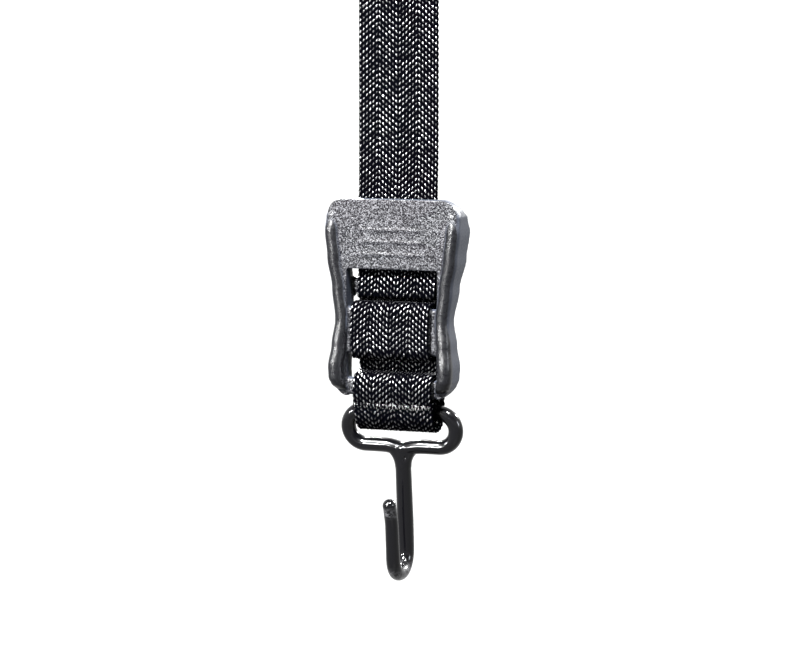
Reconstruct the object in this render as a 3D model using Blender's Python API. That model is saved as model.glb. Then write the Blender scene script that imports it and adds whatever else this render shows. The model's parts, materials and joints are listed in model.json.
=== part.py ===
"""Saxophone neck strap: a webbing loop, a moulded slider that sets its height, and a coated wire hook.

The origin is where the neck holds the strap, at the inside of the loop's top bend. +Z is up, -Y is the
front and X runs across the webbing. The strap hangs at its longest, with the slider down at the hook.
"""

import math

import bmesh
import bpy
from mathutils import Matrix, Vector

MM = 0.001
SHARP_ANGLE = math.radians(35)

# Webbing
WEBBING_WIDTH = 19.05 * MM
WEBBING_THICKNESS = 1.0 * MM
GAP = 0.3 * MM
STRAP_LENGTH = 570 * MM  # from the neck down to the hook's bar

# Neck loop: two strands that open into a round bend
BEND_RADIUS = 12.5 * MM
BEND_BOTTOM = -110 * MM
LOOP_STEPS = 10

# Slider, in its own frame: y = 0 at the plate's front face, z = 0 at its bottom edge
SLIDER_HEIGHT = 45.4 * MM
PLATE_THICKNESS = 2.8 * MM
BAR_THICKNESS = 2.2 * MM
WINDOW_HALF_WIDTH = 10.85 * MM
BOTTOM_BAR = (0.3 * MM, 4.4 * MM)
MIDDLE_BAR = (9.9 * MM, 20.7 * MM)
UPPER_BAR = (23.6 * MM, 27.3 * MM)
UPPER_BAR_DEPTH = (3.0 * MM, 5.6 * MM)
UPPER_BAR_ROUND = 1.0 * MM
BOTTOM_BAR_ROUND = 1.2 * MM
BAR_EDGE = 1.05 * MM  # the round edges of the bottom and middle bars
BAR_FRONT = 0.05 * MM
# How far each bar reaches into the body past the window
BOTTOM_BAR_REACH = 0.5 * MM
MIDDLE_BAR_REACH = 1.8 * MM
UPPER_BAR_REACH = 2.4 * MM
PLATE_INSET = 0.6 * MM  # the plate's edge lies this far inside the walls' outer faces
PLATE_STEPS = 14
WINDOW_TOP = 29.4 * MM
WINDOW_CUT_BOTTOM = -1.0 * MM
WINDOW_CUT_DEPTH = (-4.0 * MM, 8.0 * MM)
CORNER_RADIUS = 3.6 * MM
# Height, half width over the walls, front edge and rear edge of the side walls
WALL_STATIONS = [
    (1.2 * MM, 13.2 * MM, 0.2 * MM, 2.9 * MM),
    (1.9 * MM, 13.8 * MM, -1.2 * MM, 3.6 * MM),
    (3.0 * MM, 14.4 * MM, -2.5 * MM, 4.5 * MM),
    (4.4 * MM, 14.8 * MM, -3.0 * MM, 4.9 * MM),
    (7.0 * MM, 14.9 * MM, -3.0 * MM, 5.2 * MM),
    (12.0 * MM, 14.4 * MM, -2.0 * MM, 4.6 * MM),
    (17.7 * MM, 13.8 * MM, -1.2 * MM, 4.0 * MM),
    (25.0 * MM, 14.6 * MM, -1.1 * MM, 5.6 * MM),
    (32.0 * MM, 15.7 * MM, -1.2 * MM, 7.2 * MM),
    (38.0 * MM, 16.3 * MM, -1.1 * MM, 7.8 * MM),
    (41.5 * MM, 16.2 * MM, -0.3 * MM, 6.3 * MM),
    (43.2 * MM, 15.6 * MM, 0.4 * MM, 4.4 * MM),
    (44.5 * MM, 14.4 * MM, 1.0 * MM, 2.9 * MM),
]
WALL_WIDTH = 3.4 * MM
WALL_STEPS = 30
NOSE_POINTS = 5

# Depths of the webbing's layers at the slider, from the plate's front face to each layer's middle
FRONT_LAYER = -0.8 * MM
UPPER_WRAP_LAYER = 2.2 * MM
NECK_FRONT_LAYER = 3.6 * MM
SECOND_END_LAYER = 3.0 * MM
SLIDER_REAR_LAYER = 4.15 * MM
FIRST_END_LAYER = 5.45 * MM
LIFTING_LAYER = 6.6 * MM
NECK_REAR_LAYER = 7.9 * MM

# Hook, in its own frame: the origin is the middle of the bar that the webbing goes round
WIRE_RADIUS = 1.45 * MM
COATED_RADIUS = 1.85 * MM
COATING_CLEARANCE = 0.1 * MM
EYE_END_RADIUS = 4.1 * MM
EYE_HALF_STRAIGHT = 9.0 * MM
SHANK_BOTTOM = -32.9 * MM
HOOK_BEND_RADIUS = 4.5 * MM
HOOK_ARM = 8.8 * MM
HOOK_TIP_LEAN = math.radians(14)
HOOK_TIP = 4.4 * MM
FILLET_HEIGHT = 4.2 * MM
FILLET_START = 0.6 * MM
FILLET_RADIUS = 3.3 * MM
FILLET_STEPS = 5
FILLET_INSET = 0.05 * MM
HOOK_REST_LEAN = math.radians(6)  # the hook's mass is in front of its shank, so the shank leans back
DIMPLE_RADIUS = 0.5 * MM
DIMPLE_DROP = 1.0 * MM
TIP_WALL = 0.3 * MM
WIRE_SIDES = 14  # with 13 steps round the bend, one flat facet faces up in the hook's saddle
BEND_STEPS = 13
HOOK_BAR = Vector((0.7 * MM, 4.7 * MM, -3.5 * MM))  # in the slider's frame, with the slider at its lowest
INNER_FOLD_RADIUS = 2.85 * MM
OUTER_FOLD_RADIUS = 4.15 * MM

# Ends of the webbing's stretches, as heights in the slider's frame
SLIDER_STRAND_TOP = SLIDER_HEIGHT + 60 * MM
HOOK_STRAND_TOP = 115 * MM
LIFTING_STRAND = (10.0 * MM, 19.8 * MM)
FIRST_END_TOP = 9.0 * MM
SECOND_END_TOP = 17.0 * MM
FRONT_STRAND = (-2.5 * MM, -1.5 * MM)

# Where the webbing bends between its layers: depth and height in the slider's frame
UPPER_WRAP_ENTRY = [(NECK_FRONT_LAYER, 29.2 * MM), (3.45 * MM, 28.5 * MM)]
UPPER_TURN_DEPTH = 5.3 * MM
END_START_DEPTH = -0.1 * MM
END_ENTRY = [(-0.55 * MM, 0.3 * MM), (FRONT_LAYER, 1.8 * MM)]
END_TURN_DEPTH = 2.6 * MM
FIRST_END_ENTRY = [(LIFTING_LAYER, 3.0 * MM), (7.0 * MM, 0.2 * MM)]
FIRST_END_EXIT = [
    (4.2 * MM, 0.9 * MM),
    (FIRST_END_LAYER - 0.2 * MM, 2.6 * MM),
    (FIRST_END_LAYER, 4.4 * MM),
]
FOLD_ENTRY = [(NECK_REAR_LAYER, 8.0 * MM), (8.2 * MM, 3.0 * MM)]
FOLD_EXIT_DEPTH = 0.4 * MM
FRONT_STRAND_DEPTH = (0.35 * MM, 0.0)

# Stitching
THREAD_RADIUS = 0.2 * MM
TACK_HALF_WIDTH = 8.0 * MM
TACK_HEIGHT = 2.0 * MM
TACK_TURNS = 12
HOOK_TACK_LOW = 3.2 * MM
SLIDER_TACK_LOW = 12.5 * MM

MIDDLE_DEPTH = (NECK_FRONT_LAYER + NECK_REAR_LAYER) / 2
SLIDER_PLACE = Vector((0, -MIDDLE_DEPTH, -STRAP_LENGTH - HOOK_BAR.z))


def clear_scene():
    for old in list(bpy.data.objects):
        bpy.data.objects.remove(old, do_unlink=True)


def make_material(name, color, roughness, metallic=0.0):
    material = bpy.data.materials.new(name)
    material.use_nodes = True
    shader = material.node_tree.nodes["Principled BSDF"]
    shader.inputs["Base Color"].default_value = (*color, 1)
    shader.inputs["Roughness"].default_value = roughness
    shader.inputs["Metallic"].default_value = metallic
    return material


def make_frame(name, place, parent=None):
    """An empty that carries everything on one moving body."""
    frame = bpy.data.objects.new(name, None)
    frame.location = place
    frame.parent = parent
    bpy.context.scene.collection.objects.link(frame)
    return frame


def make_object(name, mesh, material, frame):
    if isinstance(mesh, bpy.types.Mesh):
        mesh.shade_smooth()
        mesh.set_sharp_from_angle(angle=SHARP_ANGLE)
    made = bpy.data.objects.new(name, mesh)
    made.data.materials.append(material)
    made.parent = frame
    bpy.context.scene.collection.objects.link(made)
    return made


def mesh_of(name, points, faces):
    shape = bmesh.new()
    corners = [shape.verts.new(point) for point in points]
    for face in faces:
        shape.faces.new([corners[i] for i in face])
    bmesh.ops.recalc_face_normals(shape, faces=shape.faces)
    mesh = bpy.data.meshes.new(name)
    shape.to_mesh(mesh)
    shape.free()
    return mesh


def loft(name, rings):
    """A closed mesh through rings that all have the same number of points."""
    sides = len(rings[0])
    points = [point for ring in rings for point in ring]
    faces = [tuple(range(sides)), tuple(range(len(points) - sides, len(points)))]
    for start in range(0, len(points) - sides, sides):
        for i in range(sides):
            j = (i + 1) % sides
            faces.append((start + i, start + j, start + sides + j, start + sides + i))
    return mesh_of(name, points, faces)


def box(name, low, high):
    rings = [
        [(low[0], low[1], z), (high[0], low[1], z), (high[0], high[1], z), (low[0], high[1], z)]
        for z in (low[2], high[2])
    ]
    return loft(name, rings)


def combine(target, mesh, operation, label):
    """Adds or cuts a helper mesh with a Boolean modifier."""
    helper = bpy.data.objects.new(f"{target.name}_{label}", mesh)
    helper.parent = target.parent
    helper.hide_render = True
    helper.display_type = "WIRE"
    bpy.context.scene.collection.objects.link(helper)
    modifier = target.modifiers.new(label, "BOOLEAN")
    modifier.operation = operation
    modifier.object = helper


# ---- Webbing ----


def arc(center, radius, start, end, steps=6):
    """Points (y, z) on an arc, with angles in degrees from +Y towards +Z."""
    turns = [math.radians(start + (end - start) * i / steps) for i in range(steps + 1)]
    return [(center[0] + radius * math.cos(a), center[1] + radius * math.sin(a)) for a in turns]


def webbing(name, path, material, frame, origin=(0, 0)):
    """A flat strip that follows a path of (y, z) points, given in the frame whose origin is stated."""
    path = [Vector((y - origin[0], z - origin[1])) for y, z in path]
    rings = []
    for i, point in enumerate(path):
        before = path[max(i - 1, 0)]
        after = path[min(i + 1, len(path) - 1)]
        along = (after - before).normalized()
        across = Vector((-along.y, along.x)) * WEBBING_THICKNESS / 2
        rings.append(
            [
                (side * WEBBING_WIDTH / 2, *(point + face * across))
                for side, face in ((-1, -1), (1, -1), (1, 1), (-1, 1))
            ]
        )
    return make_object(name, loft(name, rings), material, frame)


def neck_bend_path():
    """Up the front strand, round the top and down the rear strand, in the strap's own frame."""
    half_gap = (NECK_REAR_LAYER - NECK_FRONT_LAYER) / 2
    center_z = -(BEND_RADIUS - WEBBING_THICKNESS / 2)
    sides = []
    for i in range(LOOP_STEPS):
        share = i / LOOP_STEPS
        spread = share * share * (3 - 2 * share)
        height = BEND_BOTTOM + (center_z - BEND_BOTTOM) * share
        sides.append((half_gap + (BEND_RADIUS - half_gap) * spread, height))
    front = [(-y, z) for y, z in sides]
    return front + arc((0, center_z), BEND_RADIUS, 180, 0, 12) + sides[::-1]


def upper_wrap_path():
    """Down behind the top plate, over the upper bar and back through the middle slot."""
    corner = UPPER_BAR_DEPTH[0] + UPPER_BAR_ROUND
    reach = corner - UPPER_WRAP_LAYER
    low, high = UPPER_BAR[0] + UPPER_BAR_ROUND, UPPER_BAR[1] - UPPER_BAR_ROUND
    turn = LIFTING_LAYER - UPPER_TURN_DEPTH
    return (
        [(NECK_FRONT_LAYER, SLIDER_STRAND_TOP)]
        + UPPER_WRAP_ENTRY
        + arc((corner, high), reach, 140, 180, 3)
        + arc((corner, low), reach, 180, 270, 6)
        + arc((UPPER_TURN_DEPTH, low - reach - turn), turn, 90, 0, 5)
        + [(LIFTING_LAYER, LIFTING_STRAND[1] + GAP)]
    )


def end_wrap_path():
    """From the front strand over the bottom bar, up behind the middle bar, over it and to the second end."""
    middle_round = BAR_THICKNESS / 2
    over_bottom = BOTTOM_BAR_ROUND - FRONT_LAYER
    over_middle = middle_round - FRONT_LAYER
    turn = SLIDER_REAR_LAYER - END_TURN_DEPTH
    bottom_z = BOTTOM_BAR[1] - BOTTOM_BAR_ROUND
    middle_low = MIDDLE_BAR[0] + middle_round
    middle_high = MIDDLE_BAR[1] - middle_round
    return (
        [(END_START_DEPTH, FRONT_STRAND[1] + GAP)]
        + END_ENTRY
        + arc((BOTTOM_BAR_ROUND, bottom_z), over_bottom, 180, 90, 6)
        + arc((END_TURN_DEPTH, bottom_z + over_bottom + turn), turn, 270, 360, 5)
        + arc((END_TURN_DEPTH, middle_high + over_middle - turn), turn, 0, 90, 5)
        + arc((middle_round, middle_high), over_middle, 90, 180, 6)
        + arc((middle_round, middle_low), over_middle, 180, 360, 10)
        + [(SECOND_END_LAYER, SECOND_END_TOP)]
    )


def first_end_path():
    """The lifting strand's foot, round the hook's bar and up to the sewn first end."""
    center = (HOOK_BAR.y, HOOK_BAR.z)
    return (
        [(LIFTING_LAYER, LIFTING_STRAND[0] - GAP)]
        + FIRST_END_ENTRY
        + arc(center, INNER_FOLD_RADIUS, 10, -205, 14)
        + FIRST_END_EXIT
        + [(FIRST_END_LAYER, FIRST_END_TOP)]
    )


def hook_fold_path():
    """Down the rear strand, round the hook's bar outside the first end, and up to the front strand."""
    center = (HOOK_BAR.y, HOOK_BAR.z)
    return (
        [(NECK_REAR_LAYER, HOOK_STRAND_TOP)]
        + FOLD_ENTRY
        + arc(center, OUTER_FOLD_RADIUS, 12, -172, 14)
        + [(FOLD_EXIT_DEPTH, FRONT_STRAND[0] - GAP)]
    )


def make_webbing(material, root, carrier, slider):
    slider_at = (SLIDER_PLACE.y, SLIDER_PLACE.z)
    carrier_at = (HOOK_BAR.y, HOOK_BAR.z)
    front, rear = -MIDDLE_DEPTH + NECK_FRONT_LAYER, -MIDDLE_DEPTH + NECK_REAR_LAYER
    webbing("webbing_neck_bend", neck_bend_path(), material, root)
    front_low = slider_at[1] + SLIDER_STRAND_TOP + GAP
    rear_low = slider_at[1] + HOOK_STRAND_TOP + GAP
    top = BEND_BOTTOM - GAP
    webbing("webbing_neck_front", [(front, top), (front, front_low)], material, root)
    webbing("webbing_neck_rear", [(rear, top), (rear, rear_low)], material, root)
    webbing("webbing_upper_wrap", upper_wrap_path(), material, slider)
    webbing("webbing_second_end", end_wrap_path(), material, slider)
    webbing("webbing_first_end", first_end_path(), material, carrier, carrier_at)
    webbing("webbing_hook_fold", hook_fold_path(), material, carrier, carrier_at)
    lifting = [(LIFTING_LAYER, z) for z in LIFTING_STRAND]
    webbing("webbing_lifting_strand", lifting, material, carrier, carrier_at)
    pull = list(zip(FRONT_STRAND_DEPTH, FRONT_STRAND))
    webbing("webbing_front_strand", pull, material, carrier, carrier_at)


# ---- Stitching ----


def bar_tack(name, depth, low, material, frame, origin=(0, 0)):
    """A close zigzag of thread across the webbing."""
    thread = bpy.data.curves.new(name, "CURVE")
    thread.dimensions = "3D"
    thread.bevel_depth = THREAD_RADIUS
    thread.bevel_resolution = 1
    thread.use_fill_caps = True
    line = thread.splines.new("POLY")
    line.points.add(TACK_TURNS)
    for i, point in enumerate(line.points):
        x = TACK_HALF_WIDTH * (2 * i / TACK_TURNS - 1)
        z = low + TACK_HEIGHT * (i % 2)
        point.co = (x, depth - origin[0], z - origin[1], 1)
    return make_object(name, thread, material, frame)


# ---- Slider ----


def wall_at(height):
    """Half width, front edge and rear edge of the side walls at a height, between the stations."""
    if height <= WALL_STATIONS[0][0]:
        return WALL_STATIONS[0][1:]
    for low, high in zip(WALL_STATIONS, WALL_STATIONS[1:]):
        if height <= high[0]:
            share = (height - low[0]) / (high[0] - low[0])
            share = share * share * (3 - 2 * share)
            return tuple(a + (b - a) * share for a, b in zip(low[1:], high[1:]))
    return WALL_STATIONS[-1][1:]


def plate_outline():
    """The right half of the plate's outline as (x, z) points, from the bottom to the top."""
    straight = SLIDER_HEIGHT - 2 * CORNER_RADIUS
    heights = [CORNER_RADIUS + straight * i / PLATE_STEPS for i in range(PLATE_STEPS + 1)]
    side = [(wall_at(z)[0] - PLATE_INSET, z) for z in heights]
    bottom = arc((side[0][0] - CORNER_RADIUS, CORNER_RADIUS), CORNER_RADIUS, -90, 0, 4)[:-1]
    top_center = (side[-1][0] - CORNER_RADIUS, SLIDER_HEIGHT - CORNER_RADIUS)
    top = arc(top_center, CORNER_RADIUS, 0, 90, 4)[1:]
    return bottom + side + top


def plate_mesh():
    right = plate_outline()
    outline = right + [(-x, z) for x, z in right[::-1]]
    rings = [[(x, y, z) for x, z in outline] for y in (0, PLATE_THICKNESS)]
    return loft("plate", rings)


def round_bar(name, depth, height, radius, reach):
    """A cross bar with rounded edges that reaches past the window's sides into the body."""
    (near, far), (low, high) = depth, height
    corners = [
        ((near + radius, low + radius), 180, 270),
        ((far - radius, low + radius), 270, 360),
        ((far - radius, high - radius), 0, 90),
        ((near + radius, high - radius), 90, 180),
    ]
    ring = [point for center, start, end in corners for point in arc(center, radius, start, end, 4)]
    half = WINDOW_HALF_WIDTH + reach
    return loft(name, [[(x, y, z) for y, z in ring] for x in (-half, half)])


def side_wall(name, side):
    """One side wall with its rounded front rail, lofted from its foot to its shoulder."""
    rings = []
    low, high = WALL_STATIONS[0][0], WALL_STATIONS[-1][0]
    for i in range(WALL_STEPS + 1):
        height = low + (high - low) * i / WALL_STEPS
        outer, near, far = wall_at(height)
        radius = WALL_WIDTH / 2
        nose = arc((outer - radius, near + radius), radius, 0, -180, NOSE_POINTS + 1)
        ring = [(outer, far)] + nose + [(outer - WALL_WIDTH, far)]
        rings.append([(side * x, y, height) for x, y in ring])
    return loft(name, rings)


def make_slider(material, frame):
    slider = make_object("slider_body", plate_mesh(), material, frame)
    near, far = WINDOW_CUT_DEPTH
    low, high = (-WINDOW_HALF_WIDTH, near, WINDOW_CUT_BOTTOM), (WINDOW_HALF_WIDTH, far, WINDOW_TOP)
    combine(slider, box("window", low, high), "DIFFERENCE", "window")
    combine(slider, side_wall("right", 1), "UNION", "right_wall")
    combine(slider, side_wall("left", -1), "UNION", "left_wall")
    front_depth = (BAR_FRONT, BAR_THICKNESS)
    bars = {
        "bottom_bar": (front_depth, BOTTOM_BAR, BAR_EDGE, BOTTOM_BAR_REACH),
        "middle_bar": (front_depth, MIDDLE_BAR, BAR_EDGE, MIDDLE_BAR_REACH),
        "upper_bar": (UPPER_BAR_DEPTH, UPPER_BAR, UPPER_BAR_ROUND, UPPER_BAR_REACH),
    }
    for name, (depth, height, radius, reach) in bars.items():
        combine(slider, round_bar(name, depth, height, radius, reach), "UNION", name)
    return slider


# ---- Hook ----


def tube(name, path, radius, closed=False):
    """A round tube in mesh form along points that lie in one plane."""
    path = [Vector(point) for point in path]
    count = len(path)
    normal = Vector((0, 1, 0)) if closed else Vector((1, 0, 0))
    rings = []
    for i, point in enumerate(path):
        before = path[(i - 1) % count] if closed or i else point
        after = path[(i + 1) % count] if closed or i < count - 1 else point
        along = (after - before).normalized()
        across = along.cross(normal)
        turns = [2 * math.pi * k / WIRE_SIDES for k in range(WIRE_SIDES)]
        rings.append([point + radius * (normal * math.cos(a) + across * math.sin(a)) for a in turns])
    if not closed:
        return loft(name, rings)
    points = [point for ring in rings for point in ring]
    faces = []
    for i in range(count):
        for k in range(WIRE_SIDES):
            m = (k + 1) % WIRE_SIDES
            j = (i + 1) % count
            faces.append(
                (
                    i * WIRE_SIDES + k,
                    i * WIRE_SIDES + m,
                    j * WIRE_SIDES + m,
                    j * WIRE_SIDES + k,
                )
            )
    return mesh_of(name, points, faces)


def eye_path():
    """The closed eye, from the top bar round both ends and along the bottom bar."""
    right = arc((EYE_HALF_STRAIGHT, -EYE_END_RADIUS), EYE_END_RADIUS, 90, -90, 8)
    left = [(-x, z) for x, z in right[::-1]]
    return [(x, 0, z) for x, z in right + left]


def shank_path(end_gap=0.0):
    """From the eye's bottom bar down the shank, round the bend and up to the tip."""
    bend = arc((-HOOK_BEND_RADIUS, SHANK_BOTTOM), HOOK_BEND_RADIUS, 0, -180, BEND_STEPS)
    arm_top = SHANK_BOTTOM + HOOK_ARM
    depth = -2 * HOOK_BEND_RADIUS
    reach = HOOK_TIP - end_gap
    tip = (depth - reach * math.sin(HOOK_TIP_LEAN), arm_top + reach * math.cos(HOOK_TIP_LEAN))
    line = [(0, -2 * EYE_END_RADIUS)] + bend + [(depth, arm_top), tip]
    return [(0, y, z) for y, z in line]


def rounded_tip(name, radius):
    """A ball that rounds the wire's free end."""
    shape = bmesh.new()
    bmesh.ops.create_uvsphere(shape, u_segments=WIRE_SIDES, v_segments=8, radius=radius)
    bmesh.ops.translate(shape, verts=shape.verts, vec=shank_path()[-1])
    mesh = bpy.data.meshes.new(name)
    shape.to_mesh(mesh)
    shape.free()
    return mesh


def fillet(name):
    """The coating's run-out round the joint of the shank and the eye."""
    top = -2 * EYE_END_RADIUS
    rings = []
    for i in range(FILLET_STEPS + 1):
        share = i / FILLET_STEPS
        radius = COATED_RADIUS + (FILLET_RADIUS - COATED_RADIUS) * (1 - share) ** 2
        height = top - FILLET_START - FILLET_HEIGHT * share
        turns = [2 * math.pi * k / WIRE_SIDES for k in range(WIRE_SIDES)]
        flat = min(radius, COATED_RADIUS - FILLET_INSET)
        rings.append([(radius * math.cos(a), flat * math.sin(a), height) for a in turns])
    return loft(name, rings)


def make_hook(steel, vinyl, frame):
    core_radius = WIRE_RADIUS - COATING_CLEARANCE
    core = make_object("hook_wire", tube("wire", eye_path(), core_radius, True), steel, frame)
    combine(core, tube("stem", shank_path(), core_radius), "UNION", "shank")
    coating = make_object("hook_coating", tube("coat", eye_path(), COATED_RADIUS, True), vinyl, frame)
    combine(coating, tube("stem_coat", shank_path(), COATED_RADIUS), "UNION", "shank")
    combine(coating, rounded_tip("tip", COATED_RADIUS), "UNION", "tip")
    combine(coating, fillet("fillet"), "UNION", "fillet")
    combine(coating, tube("eye_bore", eye_path(), WIRE_RADIUS, True), "DIFFERENCE", "eye_bore")
    combine(coating, tube("shank_bore", shank_path(-TIP_WALL), WIRE_RADIUS), "DIFFERENCE", "shank_bore")
    middle = -2 * EYE_END_RADIUS - DIMPLE_DROP
    low = (-DIMPLE_RADIUS, -2 * COATED_RADIUS, middle - DIMPLE_RADIUS)
    high = (DIMPLE_RADIUS, -WIRE_RADIUS + GAP, middle + DIMPLE_RADIUS)
    combine(coating, box("dimple", low, high), "DIFFERENCE", "dimple")


def build():
    clear_scene()
    black_webbing = make_material("webbing", (0.012, 0.012, 0.014), 0.55)
    grey_plastic = make_material("slider", (0.075, 0.077, 0.083), 0.5)
    vinyl = make_material("vinyl", (0.008, 0.008, 0.009), 0.15)
    steel = make_material("steel", (0.55, 0.55, 0.56), 0.35, 1.0)
    thread = make_material("thread", (0.015, 0.015, 0.017), 0.6)

    root = make_frame("neck_frame", (0, 0, 0))
    bar_place = SLIDER_PLACE + HOOK_BAR
    carrier = make_frame("hook_carrier_frame", (0, bar_place.y, bar_place.z), root)
    slider = make_frame("slider_frame", SLIDER_PLACE, carrier)
    slider.matrix_parent_inverse = Matrix.Translation((0, -bar_place.y, -bar_place.z))
    hook = make_frame("hook_frame", (HOOK_BAR.x, 0, 0), carrier)
    hook.rotation_euler = (HOOK_REST_LEAN, 0, 0)

    make_webbing(black_webbing, root, carrier, slider)
    make_slider(grey_plastic, slider)
    make_hook(steel, vinyl, hook)
    carrier_at = (HOOK_BAR.y, HOOK_BAR.z)
    first_depth = FIRST_END_LAYER - WEBBING_THICKNESS / 2 - GAP - THREAD_RADIUS
    bar_tack("bar_tack_hook", first_depth, HOOK_TACK_LOW, thread, carrier, carrier_at)
    second_depth = SLIDER_REAR_LAYER + WEBBING_THICKNESS / 2 + GAP + THREAD_RADIUS
    bar_tack("bar_tack_slider", second_depth, SLIDER_TACK_LOW, thread, slider)


build()
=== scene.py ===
"""Looks of the saxophone neck strap: woven webbing, a grained moulded slider and a glossy dipped hook.

Design sizes are in millimetres, in the slider's frame (y = 0 at the plate's front face, z = 0 at its
bottom edge) or in the hook's frame (the origin is the middle of the bar that the webbing goes round).
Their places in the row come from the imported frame.
"""

import json
import math

import bmesh
import bpy
import numpy as np
from mathutils import Matrix, Vector


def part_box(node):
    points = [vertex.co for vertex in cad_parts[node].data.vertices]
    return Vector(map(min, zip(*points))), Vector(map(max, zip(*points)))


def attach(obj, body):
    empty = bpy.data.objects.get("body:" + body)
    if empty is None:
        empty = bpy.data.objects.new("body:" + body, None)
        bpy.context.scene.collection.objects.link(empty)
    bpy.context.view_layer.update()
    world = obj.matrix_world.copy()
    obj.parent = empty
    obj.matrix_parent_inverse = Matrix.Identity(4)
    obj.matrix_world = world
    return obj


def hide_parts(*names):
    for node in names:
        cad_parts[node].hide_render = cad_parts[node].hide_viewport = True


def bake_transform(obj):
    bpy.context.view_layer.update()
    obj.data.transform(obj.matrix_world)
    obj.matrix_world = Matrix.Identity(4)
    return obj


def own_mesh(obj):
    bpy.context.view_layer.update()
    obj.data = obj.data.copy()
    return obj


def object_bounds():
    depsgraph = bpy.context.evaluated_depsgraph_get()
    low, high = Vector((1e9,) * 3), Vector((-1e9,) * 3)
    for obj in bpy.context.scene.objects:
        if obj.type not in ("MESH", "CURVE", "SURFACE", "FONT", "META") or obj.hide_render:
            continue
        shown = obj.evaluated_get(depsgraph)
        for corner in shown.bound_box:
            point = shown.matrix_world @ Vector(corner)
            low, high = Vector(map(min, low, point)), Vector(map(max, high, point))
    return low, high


MM = 0.001
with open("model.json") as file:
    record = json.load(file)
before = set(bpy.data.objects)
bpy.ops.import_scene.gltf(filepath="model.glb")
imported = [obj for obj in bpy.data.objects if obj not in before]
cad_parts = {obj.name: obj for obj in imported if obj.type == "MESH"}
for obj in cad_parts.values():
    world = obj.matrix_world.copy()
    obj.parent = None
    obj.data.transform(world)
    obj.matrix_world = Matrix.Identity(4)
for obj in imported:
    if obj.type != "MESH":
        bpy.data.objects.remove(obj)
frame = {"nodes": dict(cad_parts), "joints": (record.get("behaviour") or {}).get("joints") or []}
cad_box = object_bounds()

# ---- Design sizes, as in the CAD, in millimetres ----

WEBBING_WIDTH = 19.05
WEBBING_THICKNESS = 1.0
SLIDER_HEIGHT = 45.4
PLATE_THICKNESS = 2.8
BAR_THICKNESS = 2.2
WINDOW_HALF_WIDTH = 10.85
BOTTOM_BAR = (0.3, 4.4)
MIDDLE_BAR = (9.9, 20.7)
UPPER_BAR = (23.6, 27.3)
UPPER_BAR_DEPTH = (3.0, 5.6)
UPPER_BAR_RADIUS = 1.0
LOWER_BAR_RADIUS = 1.05
LOWER_BAR_FRONT = 0.05  # just behind the plate's front face
# How far each cross bar runs on into the side walls
BOTTOM_BAR_REACH, MIDDLE_BAR_REACH, UPPER_BAR_REACH = 0.5, 1.8, 2.4
WINDOW_TOP = 29.4
CORNER_RADIUS = 3.6
RAIL_FRONT = -3.0
# Height, half width over the walls, front edge and rear edge of the side walls
WALL_STATIONS = [
    (1.2, 13.2, 0.2, 2.9),
    (1.9, 13.8, -1.2, 3.6),
    (3.0, 14.4, -2.5, 4.5),
    (4.4, 14.8, -3.0, 4.9),
    (7.0, 14.9, -3.0, 5.2),
    (12.0, 14.4, -2.0, 4.6),
    (17.7, 13.8, -1.2, 4.0),
    (25.0, 14.6, -1.1, 5.6),
    (32.0, 15.7, -1.2, 7.2),
    (38.0, 16.3, -1.1, 7.8),
    (41.5, 16.2, -0.3, 6.3),
    (43.2, 15.6, 0.4, 4.4),
    (44.5, 14.4, 1.0, 2.9),
]
WALL_WIDTH = 3.4

FRONT_LAYER = -0.8
UPPER_WRAP_LAYER = 2.2
SECOND_END_LAYER = 3.0
NECK_FRONT_LAYER = 3.6
SLIDER_REAR_LAYER = 4.15
FIRST_END_LAYER = 5.45
LIFTING_LAYER = 6.6
NECK_REAR_LAYER = 7.9
INNER_FOLD_RADIUS = 2.85
OUTER_FOLD_RADIUS = 4.15

BEND_RADIUS = 12.5
COATED_RADIUS = 1.74
CORE_RADIUS = 1.3
SHANK_RADIUS = 1.95
ARM_RADIUS = 1.6
EYE_END_RADIUS = 4.1
EYE_HALF_STRAIGHT = 9.0
EYE_DIP = 0.75
SHANK_BOTTOM = -32.9
HOOK_BEND_RADIUS = 4.5
HOOK_ARM = 8.8
HOOK_TIP = 4.4
HOOK_TIP_LEAN = math.radians(14)
HOOK_LEAN = math.radians(6)

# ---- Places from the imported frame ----


def joint(name):
    return next(j for j in frame["joints"] if j["name"] == name)


slider_low, slider_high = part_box("slider_body")
SLIDER_AT = Vector((0, slider_low.y - RAIL_FRONT * MM, slider_high.z - SLIDER_HEIGHT * MM))
BAR_AT = Vector(joint("hook_swing")["pos_m"])
BAR_Y = (BAR_AT.y - SLIDER_AT.y) / MM
BAR_Z = (BAR_AT.z - SLIDER_AT.z) / MM
bend_low, bend_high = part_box("webbing_neck_bend")
front_low, front_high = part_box("webbing_neck_front")
rear_low, rear_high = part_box("webbing_neck_rear")

# ---- Meshes ----


def eased(share):
    """A share from 0 to 1 with a soft start and end."""
    return share * share * (3 - 2 * share)


def new_object(name, mesh, material, body):
    """A smooth piece that takes its finish from a slot and, when a body is given, rides on it."""
    made = bpy.data.objects.new(name, mesh)
    bpy.context.scene.collection.objects.link(made)
    mesh.materials.append(material)
    mesh.shade_smooth()
    if body:
        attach(made, body)
    return made


def arc(center, radius, start, end, steps=12):
    """Points (y, z) on an arc, with angles in degrees from +Y towards +Z."""
    turns = np.radians(np.linspace(start, end, steps + 1))
    return [(center[0] + radius * math.cos(a), center[1] + radius * math.sin(a)) for a in turns]


def lengths_along(points):
    return np.r_[0, np.cumsum(np.linalg.norm(np.diff(points, axis=0), axis=1))]


def spread_along(points, count):
    """As many points as asked for, evenly spaced along a polyline."""
    lengths = lengths_along(points)
    at = np.linspace(0, lengths[-1], count)
    return np.column_stack([np.interp(at, lengths, points[:, k]) for k in range(points.shape[1])])


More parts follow.
